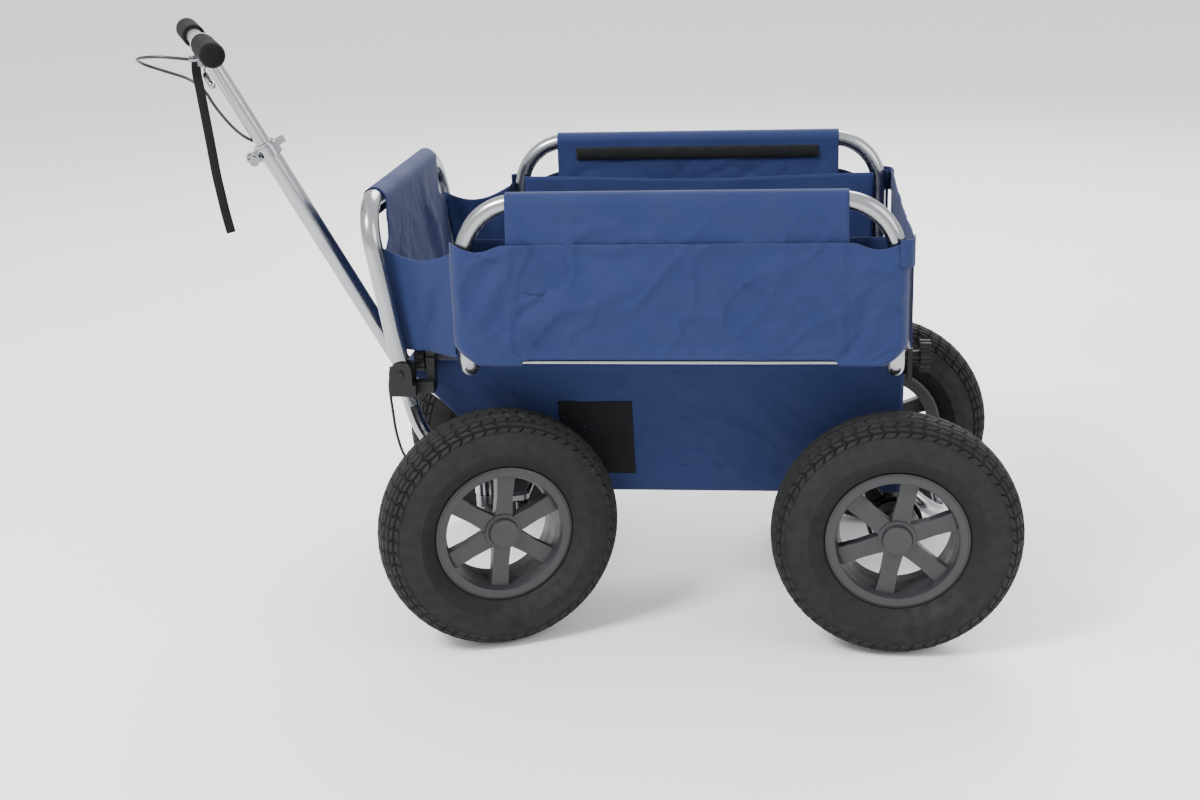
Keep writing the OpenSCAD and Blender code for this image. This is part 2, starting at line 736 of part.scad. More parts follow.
module brake_cable_upper() {
    color("black") steered() swept(smooth(cable_upper_route, 4), 2, 2, 8, [0.1, 0.2, 1]);
}

module brake_cables_rear() {
    color("black") both_sides() swept(smooth(cable_rear_route, 2), 2, 2, 8, [0.1, 0.2, 1]);
}

module brake_cable_lower() {
    color("black") steered() swept(smooth(cable_lower_route, 4), 2, 2, 8, [0.05, 1, 0.1]);
}

bed_frame();
front_beam();
king_pins();
rear_bow();
rear_axle();
rear_brackets();
front_struts();
hoop_joints();
upper_rails();
tub();
floor_board();
rear_panel();
brake_covers();
brake_cam(-1);  // brake_cam_near
brake_cam(1);  // brake_cam_far
swivel_yoke();
tilt_bolt();
knuckle(-1);  // knuckle_near
knuckle(1);  // knuckle_far
tie_rod();
at_wheel(true, -1) tyre();  // tyre_front_near
at_wheel(true, -1) wheel_pose(true) rim();  // rim_front_near
at_wheel(true, -1) hub_cap();  // hub_cap_front_near
at_wheel(true, 1) tyre();  // tyre_front_far
at_wheel(true, 1) wheel_pose(true) rim();  // rim_front_far
at_wheel(true, 1) hub_cap();  // hub_cap_front_far
at_wheel(false, -1) tyre();  // tyre_rear_near
at_wheel(false, -1) wheel_pose(false) rim();  // rim_rear_near
at_wheel(false, -1) hub_cap();  // hub_cap_rear_near
at_wheel(false, 1) tyre();  // tyre_rear_far
at_wheel(false, 1) wheel_pose(false) rim();  // rim_rear_far
at_wheel(false, 1) hub_cap();  // hub_cap_rear_far
at_wheel(false, -1) brake_drum();  // brake_drum_near
at_wheel(false, 1) brake_drum();  // brake_drum_far
drawbar_tube();
drawbar_eye();
clamp_collar();
clamp_lever();
slide_tube();
tee_bar();
grips();
brake_perch();
brake_lever();
wrist_strap();
brake_cable_upper();
brake_cable_lower();
brake_cables_rear();
side_hoop();  // side_hoop_near
mirror([0, 1, 0]) side_hoop();  // side_hoop_far
side_panel();  // side_panel_near
mirror([0, 1, 0]) side_panel();  // side_panel_far
hem_rod();  // hem_rod_near
mirror([0, 1, 0]) hem_rod();  // hem_rod_far
front_hoop();
front_panel();
corner_gussets();
knob(-349);  // knob_front_near
mirror([0, 1, 0]) knob(-349);  // knob_front_far
knob(298);  // knob_rear_near
mirror([0, 1, 0]) knob(298);  // knob_rear_far
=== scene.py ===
"""The folding beach cart's looks: cloth, tyres, grips, cords and every finish."""

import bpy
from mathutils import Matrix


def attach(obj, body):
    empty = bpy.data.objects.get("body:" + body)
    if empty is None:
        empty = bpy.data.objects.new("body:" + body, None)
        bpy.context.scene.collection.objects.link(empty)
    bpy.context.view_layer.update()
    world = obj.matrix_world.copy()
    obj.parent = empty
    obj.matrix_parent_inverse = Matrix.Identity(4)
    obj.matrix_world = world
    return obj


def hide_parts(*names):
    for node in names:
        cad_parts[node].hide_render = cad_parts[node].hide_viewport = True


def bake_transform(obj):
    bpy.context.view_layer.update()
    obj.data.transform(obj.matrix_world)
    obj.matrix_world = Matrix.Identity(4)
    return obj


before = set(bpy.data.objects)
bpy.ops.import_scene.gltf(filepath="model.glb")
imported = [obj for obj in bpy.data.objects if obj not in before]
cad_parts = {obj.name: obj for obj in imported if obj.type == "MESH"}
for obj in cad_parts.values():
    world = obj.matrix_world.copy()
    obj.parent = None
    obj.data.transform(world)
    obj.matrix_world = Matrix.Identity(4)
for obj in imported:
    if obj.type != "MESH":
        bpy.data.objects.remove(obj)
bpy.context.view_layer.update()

import logging
import math
from dataclasses import dataclass, field
from enum import Enum
from typing import Callable, Iterable, Sequence

import bmesh
import bpy
from mathutils import Matrix, Vector, noise

LOG = logging.getLogger("cart")
MM = 0.001
# A wave texture at scale 1 repeats after this many units.
WAVE_PERIOD = 0.314
Place = Callable[[float, float], Vector]


class Side(Enum):
    """The two sides of the cart; the value is the sign of Y."""

    NEAR = -1
    FAR = 1

    @property
    def word(self) -> str:
        """The side's name as the CAD nodes spell it."""
        return self.name.lower()


# ---------------------------------------------------------------- node trees


def linear(hexcode: str, alpha: float = 1.0) -> tuple[float, float, float, float]:
    """Turns an sRGB hex colour into linear values.

    Args:
        hexcode: six hex digits.
        alpha: opacity.
    Returns:
        Red, green, blue and alpha.
    """
    def channel(pair: str) -> float:
        """One channel's linear value, from its two hex digits."""
        c = int(pair, 16) / 255
        return c / 12.92 if c <= 0.04045 else ((c + 0.055) / 1.055) ** 2.4

    return (channel(hexcode[0:2]), channel(hexcode[2:4]), channel(hexcode[4:6]), alpha)


def add_node(tree: bpy.types.NodeTree, kind: str, inputs: dict | None = None,
             **settings: object) -> bpy.types.Node:
    """Adds a node with its settings, values and links.

    Args:
        tree: the tree that gets the node.
        kind: the node's type.
        inputs: socket name or index to a value, or to the socket that feeds it.
        settings: the node's own properties.
    Returns:
        The new node.
    """
    node = tree.nodes.new(kind)
    for key, value in settings.items():
        setattr(node, key, value)
    for key, value in (inputs or {}).items():
        if isinstance(value, bpy.types.NodeSocket):
            tree.links.new(value, node.inputs[key])
        else:
            node.inputs[key].default_value = value
    return node


@dataclass(frozen=True)
class Finish:
    """A surface of one colour family with fine relief and uneven gloss."""

    name: str
    slot: str
    light: str
    dark: str
    roughness: float
    metallic: float = 0.0
    spread: float = 0.06
    grain_mm: float = 1.2
    relief_mm: float = 0.05
    patch_mm: float = 60.0
    sheen: float = 0.0
    coat: float = 0.0
    specular: float = 0.5

    def colour(self, tree: bpy.types.NodeTree, at: bpy.types.NodeSocket) -> bpy.types.NodeSocket:
        """Mixes the two colours in soft patches.

        Args:
            tree: the material's tree.
            at: the coordinates.
        Returns:
            The colour socket.
        """
        patches = add_node(tree, "ShaderNodeTexNoise", {"Vector": at, "Scale": 1 / (self.patch_mm * MM),
                                                        "Detail": 3.0})
        return add_node(tree, "ShaderNodeMix", {0: patches.outputs[0], 6: linear(self.dark),
                                                7: linear(self.light)}, data_type="RGBA").outputs[2]

    def height(self, tree: bpy.types.NodeTree, at: bpy.types.NodeSocket) -> bpy.types.NodeSocket:
        """Fine grain for the bump, from 0 to 1.

        Args:
            tree: the material's tree.
            at: the coordinates.
        Returns:
            The height socket.
        """
        return add_node(tree, "ShaderNodeTexNoise", {"Vector": at, "Scale": 1 / (self.grain_mm * MM),
                                                     "Detail": 2.0}).outputs[0]

    def gloss(self, tree: bpy.types.NodeTree, at: bpy.types.NodeSocket) -> bpy.types.NodeSocket:
        """Roughness that wanders a little, as handling leaves it.

        Args:
            tree: the material's tree.
            at: the coordinates.
        Returns:
            The roughness socket.
        """
        smears = add_node(tree, "ShaderNodeTexNoise", {"Vector": at, "Scale": 2.6 / (self.patch_mm * MM),
                                                       "Detail": 4.0})
        return add_node(tree, "ShaderNodeMapRange", {"Value": smears.outputs[0], "From Min": 0.3,
                        "From Max": 0.7, "To Min": self.roughness - self.spread,
                        "To Max": self.roughness + self.spread}).outputs[0]

    def coordinates(self, tree: bpy.types.NodeTree) -> bpy.types.NodeSocket:
        """The object's own coordinates in metres."""
        return add_node(tree, "ShaderNodeTexCoord").outputs["Object"]

    def material(self) -> bpy.types.Material:
        """Makes the material, or returns the one already made."""
        if self.name in bpy.data.materials:
            return bpy.data.materials[self.name]
        made = bpy.data.materials.new(self.name)
        made.use_nodes = True
        tree = made.node_tree
        tree.nodes.clear()
        at = self.coordinates(tree)
        bump = add_node(tree, "ShaderNodeBump", {"Height": self.height(tree, at), "Strength": 0.6,
                                                 "Distance": self.relief_mm * MM})
        shader = add_node(tree, "ShaderNodeBsdfPrincipled", {
            "Base Color": self.colour(tree, at), "Roughness": self.gloss(tree, at),
            "Metallic": self.metallic, "Sheen Weight": self.sheen, "Sheen Roughness": 0.5,
            "Coat Weight": self.coat, "Coat Roughness": 0.2,
            "Specular IOR Level": self.specular, "Normal": bump.outputs[0]})
        add_node(tree, "ShaderNodeOutputMaterial", {"Surface": shader.outputs[0]})
        return made


@dataclass(frozen=True)
class WovenCloth(Finish):
    """A plain weave that follows the cloth's own map, which is in metres."""

    thread_mm: float = 1.8

    def coordinates(self, tree: bpy.types.NodeTree) -> bpy.types.NodeSocket:
        """The cloth's own map."""
        return add_node(tree, "ShaderNodeTexCoord").outputs["UV"]

    def height(self, tree: bpy.types.NodeTree, at: bpy.types.NodeSocket) -> bpy.types.NodeSocket:
        """Warp and weft threads that cross over each other.

        Args:
            tree: the material's tree.
            at: the coordinates.
        Returns:
            The height socket.
        """
        scale = WAVE_PERIOD / (self.thread_mm * MM)
        threads = [add_node(tree, "ShaderNodeTexWave", {"Vector": at, "Scale": scale, "Distortion": 0.4},
                            bands_direction=way).outputs["Fac"] for way in ("X", "Y")]
        return add_node(tree, "ShaderNodeMath", {0: threads[0], 1: threads[1]},
                        operation="MAXIMUM").outputs[0]


# Polyester canvas, woven and dyed: a soft sheen, visible threads, slightly faded patches.
CANVAS = WovenCloth("polyester_canvas_woven", "blue_cloth", "1c2a53", "16224b", 0.78, grain_mm=2.0,
                    relief_mm=0.22, patch_mm=180.0, sheen=0.06, specular=0.25)
# Cordura-like nylon patch, woven and coated: dark, coarse and dull.
PATCH = WovenCloth("nylon_patch_woven", "webbing", "121317", "0b0c0f", 0.85, relief_mm=0.35,
                   thread_mm=2.6, patch_mm=90.0, specular=0.2)
# Polyester thread, spun: a shade lighter than the cloth so that the seams read.
THREAD = Finish("polyester_thread_spun", "blue_cloth", "223263", "1a2957", 0.6, relief_mm=0.05)
# Board covered in polyester cloth: darker than the walls, as it lies in the tub's shade.
BOARD_CLOTH = Finish("polyester_cloth_board", "board", "1b2649", "162041", 0.8, grain_mm=1.8,
                     relief_mm=0.15)
# Nylon webbing, woven flat: ribs across the band and a dull sheen.
WEBBING = Finish("nylon_webbing_woven", "webbing", "0d0e11", "08090b", 0.78, grain_mm=2.2,
                 relief_mm=0.3, sheen=0.05, specular=0.2)
# Aluminium tube, drawn and satin anodised: pale, softly reflecting, faint drawing marks.
ALUMINIUM = Finish("aluminium_satin_anodised", "silver_tube", "a2a4a8", "8f9195", 0.24, metallic=1.0,
                   grain_mm=0.9, relief_mm=0.008, patch_mm=90.0)
# Steel, turned and zinc plated: greyer than aluminium, with fine lathe marks.
ZINC = Finish("steel_zinc_plated", "steel", "97999c", "808285", 0.36, metallic=1.0, relief_mm=0.012)
# Steel, pressed and chrome plated: bright, with sharp reflections.
CHROME = Finish("steel_chrome_plated", "bright_metal", "9c9ea2", "8a8c90", 0.12, metallic=1.0,
                spread=0.03, relief_mm=0.004)
# Steel, powder coated black: satin with a light orange peel.
POWDER = Finish("steel_powder_coated", "black_metal", "151618", "0e0f10", 0.42, grain_mm=1.6,
                relief_mm=0.04)
# Nylon, injection moulded and spark-eroded: matte with an even fine grain.
NYLON = Finish("nylon_moulded", "black_plastic", "101113", "0a0b0c", 0.5, grain_mm=0.8, relief_mm=0.05,
               specular=0.3)
# Polypropylene, injection moulded: the wheels' dark grey, softly shining.
POLYPROPYLENE = Finish("polypropylene_moulded", "wheel_plastic", "27272a", "202023", 0.46,
                       grain_mm=0.9, relief_mm=0.04, patch_mm=40.0)
# Rubber, vulcanised in a mould: nearly black with dusty patches.
RUBBER = Finish("rubber_vulcanised", "tyre", "161617", "0d0d0e", 0.74, spread=0.1, grain_mm=1.5,
                relief_mm=0.08, patch_mm=35.0, specular=0.3)
# Foam rubber, extruded: black, dull and finely pored.
FOAM = Finish("foam_rubber_extruded", "foam", "0e0e0f", "08080a", 0.9, grain_mm=1.1, relief_mm=0.25,
              specular=0.2)
# PVC cable jacket, extruded: black and smooth.
JACKET = Finish("pvc_jacket_extruded", "cable", "161617", "0e0e0f", 0.38, relief_mm=0.01)


# ---------------------------------------------------------------- mesh helpers


def finish_mesh(name: str, bm: bmesh.types.BMesh, finish: Finish, sharp_deg: float = 40.0,
                ) -> bpy.types.Object:
    """Turns a bmesh into a dressed object.

    Args:
        name: the piece's name.
        bm: the mesh, which is freed.
        finish: what it is made of.
        sharp_deg: edges sharper than this stay crisp.
    Returns:
        The new object, at the origin.
    """
    mesh = bpy.data.meshes.new(name)
    bm.to_mesh(mesh)
    bm.free()
    for face in mesh.polygons:
        face.use_smooth = True
    mesh.set_sharp_from_angle(angle=math.radians(sharp_deg))
    piece = bpy.data.objects.new(name, mesh)
    bpy.context.scene.collection.objects.link(piece)
    mesh.materials.append(finish.material())
    LOG.info("%s: %d faces", name, len(mesh.polygons))
    return piece


def cloth(name: str, width: float, height: float, place: Place, body: str | None,
          finish: Finish = CANVAS, cell: float = 8.0, thick: float = 1.4) -> bpy.types.Object:
    """Makes a piece of cloth from a flat grid whose points a rule puts in place.

    Args:
        name: the piece's name.
        width: flat width in mm.
        height: flat height in mm.
        place: gives a point in mm from the shares of width and height.
        body: the body it rides on, or None to leave it unattached.
        finish: what it is made of.
        cell: size of a grid cell in mm.
        thick: thickness in mm.
    Returns:
        The cloth.
    """
    bm = bmesh.new()
    chart = bm.loops.layers.uv.new("UVMap")
    bmesh.ops.create_grid(bm, x_segments=max(2, round(width / cell)),
                          y_segments=max(2, round(height / cell)), size=0.5)
    reach = max(abs(v.co.x) for v in bm.verts) * 2
    for face in bm.faces:
        for loop in face.loops:
            loop[chart].uv = ((loop.vert.co.x / reach + 0.5) * width * MM,
                              (loop.vert.co.y / reach + 0.5) * height * MM)
    for vert in bm.verts:
        vert.co = place(vert.co.x / reach + 0.5, vert.co.y / reach + 0.5) * MM
    piece = finish_mesh(name, bm, finish, 60.0)
    wall = piece.modifiers.new("thickness", "SOLIDIFY")
    wall.thickness = thick * MM
    wall.offset = 0.0
    if body:
        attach(piece, body)
    return piece


@dataclass(frozen=True)
class Fold:
    """One soft fold: its middle, direction, half length, half width and depth, in mm and degrees."""

    u: float
    v: float
    turn: float
    reach: float
    width: float
    depth: float

    def lift(self, u: float, v: float) -> float:
        """How far the fold lifts the cloth at a point, in mm.

        Args:
            u: distance along the cloth in mm.
            v: distance up the cloth in mm.
        Returns:
            The lift.
        """
        c, s = math.cos(math.radians(self.turn)), math.sin(math.radians(self.turn))
        along = ((u - self.u) * c + (v - self.v) * s) / self.reach
        across = ((v - self.v) * c - (u - self.u) * s) / self.width
        if abs(along) > 3 or abs(across) > 5:
            return 0.0
        ridge = math.exp(-across * across) - 0.55 * math.exp(-(across - 1.7) ** 2)
        return self.depth * math.exp(-along * along) * ridge


def slack(folds: Sequence[Fold], u: float, v: float, ripple: float = 1.0) -> float:
    """The cloth's lift from its folds and from small ripples, in mm.

    Args:
        folds: the folds.
        u: distance along the cloth in mm.
        v: distance up the cloth in mm.
        ripple: height of the small ripples in mm.
    Returns:
        The lift.
    """
    broad = noise.noise(Vector((u / 110, v / 75, 3.1)))
    fine = noise.noise(Vector(((u + 0.6 * v) / 38, (v - 0.3 * u) / 60, 7.7)))
    crease = 0.0
    for turn, seed in ((0.9, 1.7), (-0.75, 5.3)):
        along, across = u * math.cos(turn) + v * math.sin(turn), v * math.cos(turn) - u * math.sin(turn)
        crease += max(0.0, 1 - 5 * abs(noise.noise(Vector((along / 95, across / 42, seed))))) ** 2
    return sum(fold.lift(u, v) for fold in folds) + ripple * (1.5 * broad + 0.8 * fine + 1.1 * crease)


def stitches(name: str, path: Callable[[float], Vector], length: float, outward: Vector, body: str,
             pitch: float = 5.0) -> bpy.types.Object:
    """A row of thread stitches that stand just proud of the cloth.

    Args:
        name: the piece's name.
        path: gives a point in mm from the share of the length.
        length: length of the row in mm.
        outward: which way is off the cloth.
        body: the body it rides on.
        pitch: stitch spacing in mm.
    Returns:
        The row.
    """
    bm = bmesh.new()
    count = round(length / pitch)
    for i in range(count):
        here, ahead = path(i / count), path(min((i + 0.62) / count, 1.0))
        run = ahead - here
        if run.length < 0.5:
            continue
        turn = run.to_track_quat("X", "Z").to_matrix().to_4x4()
        spot = Matrix.Translation(((here + ahead) / 2 + outward * 0.9) * MM)
        bmesh.ops.create_icosphere(bm, subdivisions=1, radius=0.5 * MM,
                                   matrix=spot @ turn @ Matrix.Diagonal((run.length, 0.9, 0.8, 1)))
    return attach(finish_mesh(name, bm, THREAD, 180.0), body)


def smooth_route(points: Sequence[Sequence[float]], steps: int) -> list[Vector]:
    """Rounds a route off with a spline through its points.

    Args:
        points: the route in metres.
        steps: spline steps between two points.
    Returns:
        The smooth route.
    """
    p = [Vector(q) for q in points]
    route = []
    for i in range(len(p) - 1):
        a, b, c, d = p[max(i - 1, 0)], p[i], p[i + 1], p[min(i + 2, len(p) - 1)]
        for k in range(steps):
            t = k / steps
            route.append(0.5 * (2 * b + (c - a) * t + (2 * a - 5 * b + 4 * c - d) * t ** 2
                                + (3 * b - a - 3 * c + d) * t ** 3))
    return route + [p[-1]]


def tube(name: str, route: Sequence[Vector], half_wide: float, half_thick: float, finish: Finish,
         up: Vector, sides: int = 16) -> bpy.types.Object:
    """Sweeps an oval along a route.

    Args:
        name: the piece's name.
        route: the points in metres.
        half_wide: half the oval's size across up, in metres.
        half_thick: half its size along up, in metres.
        finish: what it is made of.
        up: roughly the flat side's direction.
        sides: points round the oval.
    Returns:
        The tube, closed at both ends.
    """
    bm = bmesh.new()
    ring = bmesh.ops.create_circle(bm, cap_ends=True, segments=sides, radius=1.0)["verts"]
    angles = [math.atan2(v.co.y, v.co.x) for v in ring]
    edges = list({e for v in ring for e in v.link_edges})

    def lay(verts: Sequence[bmesh.types.BMVert], i: int) -> None:
        """Puts a ring of points round one point of the route."""
        way = (route[min(i + 1, len(route) - 1)] - route[max(i - 1, 0)]).normalized()
        across = way.cross(up).normalized()
        rise = across.cross(way)
        for vert, angle in zip(verts, angles):
            vert.co = (route[i] + across * half_wide * math.cos(angle)
                       + rise * half_thick * math.sin(angle))

    lay(ring, 0)
    for i in range(1, len(route)):
        before = {v: k for k, v in enumerate(ring)}
        grown = bmesh.ops.extrude_edge_only(bm, edges=edges)["geom"]
        fresh = [g for g in grown if isinstance(g, bmesh.types.BMVert)]
        order = [None] * len(ring)
        for vert in fresh:
            for edge in vert.link_edges:
                other = edge.other_vert(vert)
                if other in before:
                    order[before[other]] = vert
        ring = order
        edges = [g for g in grown if isinstance(g, bmesh.types.BMEdge)
                 and g.verts[0] in fresh and g.verts[1] in fresh]
        lay(ring, i)
    bm.faces.new(ring)
    bmesh.ops.recalc_face_normals(bm, faces=bm.faces)
    return finish_mesh(name, bm, finish, 50.0)


def lathe(name: str, outline: Sequence[tuple[float, float]], place: Matrix, finish: Finish,
          steps: int = 48, sharp_deg: float = 40.0) -> bpy.types.Object:
    """Spins an outline of (radius, height) in mm about Z and puts it in place.

    Args:
        name: the piece's name.
        outline: points of the outline.
        place: where the piece's own frame goes.
        finish: what it is made of.
        steps: steps round the spin.
        sharp_deg: edges sharper than this stay crisp.
    Returns:
        The lathed piece.
    """
    bm = bmesh.new()
    spin_outline(bm, outline, steps, closed=False)
    bmesh.ops.transform(bm, matrix=place, verts=bm.verts)
    return finish_mesh(name, bm, finish, sharp_deg)


def spin_outline(bm: bmesh.types.BMesh, outline: Sequence[tuple[float, float]], steps: int,
                 closed: bool) -> None:
    """Spins an outline a full turn about Z.

    Args:
        bm: the mesh that gets it.
        outline: (radius, height) points in mm.
        steps: steps round the spin.
        closed: whether the outline's last point joins its first.
    """
    verts = [bm.verts.new((r * MM, 0, z * MM)) for r, z in outline]
    pairs = list(zip(verts, verts[1:])) + ([(verts[-1], verts[0])] if closed else [])
    edges = [bm.edges.new(pair) for pair in pairs]
    bmesh.ops.spin(bm, geom=verts + edges, cent=(0, 0, 0), axis=(0, 0, 1), dvec=(0, 0, 0),
                   angle=math.tau, steps=steps, use_merge=True, use_duplicate=False)
    bmesh.ops.remove_doubles(bm, verts=bm.verts, dist=1e-6)
    bmesh.ops.recalc_face_normals(bm, faces=bm.faces)


# ---------------------------------------------------------------- layout


@dataclass(frozen=True)
class Layout:
    """The cart's driving sizes in mm and degrees, as the frame has them."""

    wheelbase: float = 541.0
    track: float = 462.4
    pin_offset: float = 68.8
    steer: float = 23.5
    tyre_r: float = 160.0
    hoop_y: float = 243.0
    hoop_z: float = 592.0
    hoop_r: float = 11.0
    rail_y: float = 178.0
    rail_z: float = 379.0
    hem_z: float = 172.0
    floor_z: float = 210.0
    tub_low: float = 120.0
    tub_top: float = 172.0
    mouth_z: float = 364.0
    pivot_x: float = -361.0
    pivot_z: float = 368.0
    lean: float = 9.3
    front_h: float = 219.0
    handle_tilt: float = 62.9
    low_tilt: float = 41.1
    corner_r: float = 142.0
    eye_r: float = 30.0
    eye_z: float = 238.0
    tee_s: float = 505.0
    tee_half: float = 210.0

    def steered(self) -> Matrix:
        """The frame that turns with the handle, in metres."""
        return (Matrix.Translation((-self.wheelbase / 2 * MM, 0, 0))
                @ Matrix.Rotation(math.radians(self.steer), 4, "Z"))

    def cross_bar(self) -> Matrix:
        """The cross bar's frame, whose Z runs along the bar to the near side."""
        rise = (self.corner_r - self.eye_r) * math.tan(math.radians(self.low_tilt))
        tilt = math.radians(self.handle_tilt)
        x = -(self.corner_r + self.tee_s * math.cos(tilt))
        z = self.eye_z + rise + self.tee_s * math.sin(tilt)
        return (self.steered() @ Matrix.Translation((x * MM, 0, z * MM))
                @ Matrix.Rotation(math.radians(90), 4, "X"))

    def wheel(self, front: bool, side: Side) -> Matrix:
        """A wheel's frame, whose Z is its outboard axis.

        Args:
            front: whether it is a front wheel.
            side: its side.
        Returns:
            The frame in metres.
        """
        out = Matrix.Rotation(math.radians(-90 * side.value), 4, "X")
        if not front:
            at = (self.wheelbase / 2 * MM, side.value * self.track / 2 * MM, self.tyre_r * MM)
            return Matrix.Translation(at) @ out
        pin_y = self.track / 2 - self.pin_offset
        return (Matrix.Translation((-self.wheelbase / 2 * MM, side.value * pin_y * MM, 0))
                @ Matrix.Rotation(math.radians(self.steer), 4, "Z")
                @ Matrix.Translation((0, side.value * self.pin_offset * MM, self.tyre_r * MM)) @ out)

    def tub_y(self, z: float) -> float:
        """Half width of the tub at a height."""
        share = (z - self.hem_z) / (self.mouth_z - self.hem_z)
        return self.tub_low + (self.tub_top - self.tub_low) * share

    def tub_x(self, z: float) -> float:
        """X of the tub's sloping front at a height."""
        return -211.5 - (z - self.hem_z) / 1.225

    def on_front(self, x: float, y: float, z: float) -> Vector:
        """A point of the leaning front hoop's frame.

        Args:
            x: distance behind the hoop's plane.
            y: distance across.
            z: distance up the hoop from its pivot.
        Returns:
            The point in mm.
        """
        c, s = math.cos(math.radians(self.lean)), math.sin(math.radians(self.lean))
        return Vector((self.pivot_x + x * c - z * s, y, self.pivot_z + x * s + z * c))


PLAN = Layout()


# ---------------------------------------------------------------- sub-assemblies


@dataclass
class Studio:
    """Camera, lights and floor."""

    eye: tuple[float, float, float] = (0.13625, -2.23968, 0.97033)
    yaw: float = 0.119
    pitch: float = 0.304
    roll: float = -0.032
    lens_mm: float = 50.17

    def camera(self) -> None:
        """Places the camera."""
        forward = Vector((-math.sin(self.yaw) * math.cos(self.pitch),
                          math.cos(self.yaw) * math.cos(self.pitch), -math.sin(self.pitch)))
        right = Vector((math.cos(self.yaw), math.sin(self.yaw), 0))
        up = right.cross(forward)
        c, s = math.cos(self.roll), math.sin(self.roll)
        x, y = right * c + up * s, up * c - right * s
        data = bpy.data.cameras.new("camera")
        data.lens = self.lens_mm
        data.sensor_width = 36.0
        eye = bpy.data.objects.new("camera", data)
        eye.matrix_world = Matrix.Translation(self.eye) @ Matrix((x, y, -forward)).transposed().to_4x4()
        bpy.context.scene.collection.objects.link(eye)
        bpy.context.scene.camera = eye

    def lamp(self, name: str, at: Sequence[float], size: float, watts: float) -> None:
        """Adds a soft panel light that faces the cart.

        Args:
            name: the light's name.
            at: where it hangs.
            size: its width in metres.
            watts: its power.
        """
        data = bpy.data.lights.new(name, "AREA")
        data.shape = "DISK"
        data.size = size
        data.energy = watts
        lamp = bpy.data.objects.new(name, data)
        lamp.location = at
        aim = Vector((0, 0, 0.3)) - Vector(at)
        lamp.rotation_euler = aim.to_track_quat("-Z", "Y").to_euler()
        bpy.context.scene.collection.objects.link(lamp)

    def build(self) -> None:
        """Makes the whole studio."""
        self.camera()
        self.lamp("key", (-2.2, -2.4, 3.6), 1.4, 270)
        self.lamp("fill", (2.8, -1.8, 2.2), 2.4, 50)
        self.lamp("back", (0.4, 3.0, 3.0), 2.6, 150)
        world = bpy.data.worlds.new("studio")
        world.use_nodes = True
        world.node_tree.nodes["Background"].inputs[0].default_value = linear("ffffff")
        world.node_tree.nodes["Background"].inputs[1].default_value = 1.35
        bpy.context.scene.world = world
        bm = bmesh.new()
        bmesh.ops.create_grid(bm, x_segments=4, y_segments=4, size=25.0)
        floor = finish_mesh("floor", bm, Finish("floor_paper", "black_plastic", "fbfbfb", "f7f7f7", 0.5,
                                                relief_mm=0.0, patch_mm=900.0))


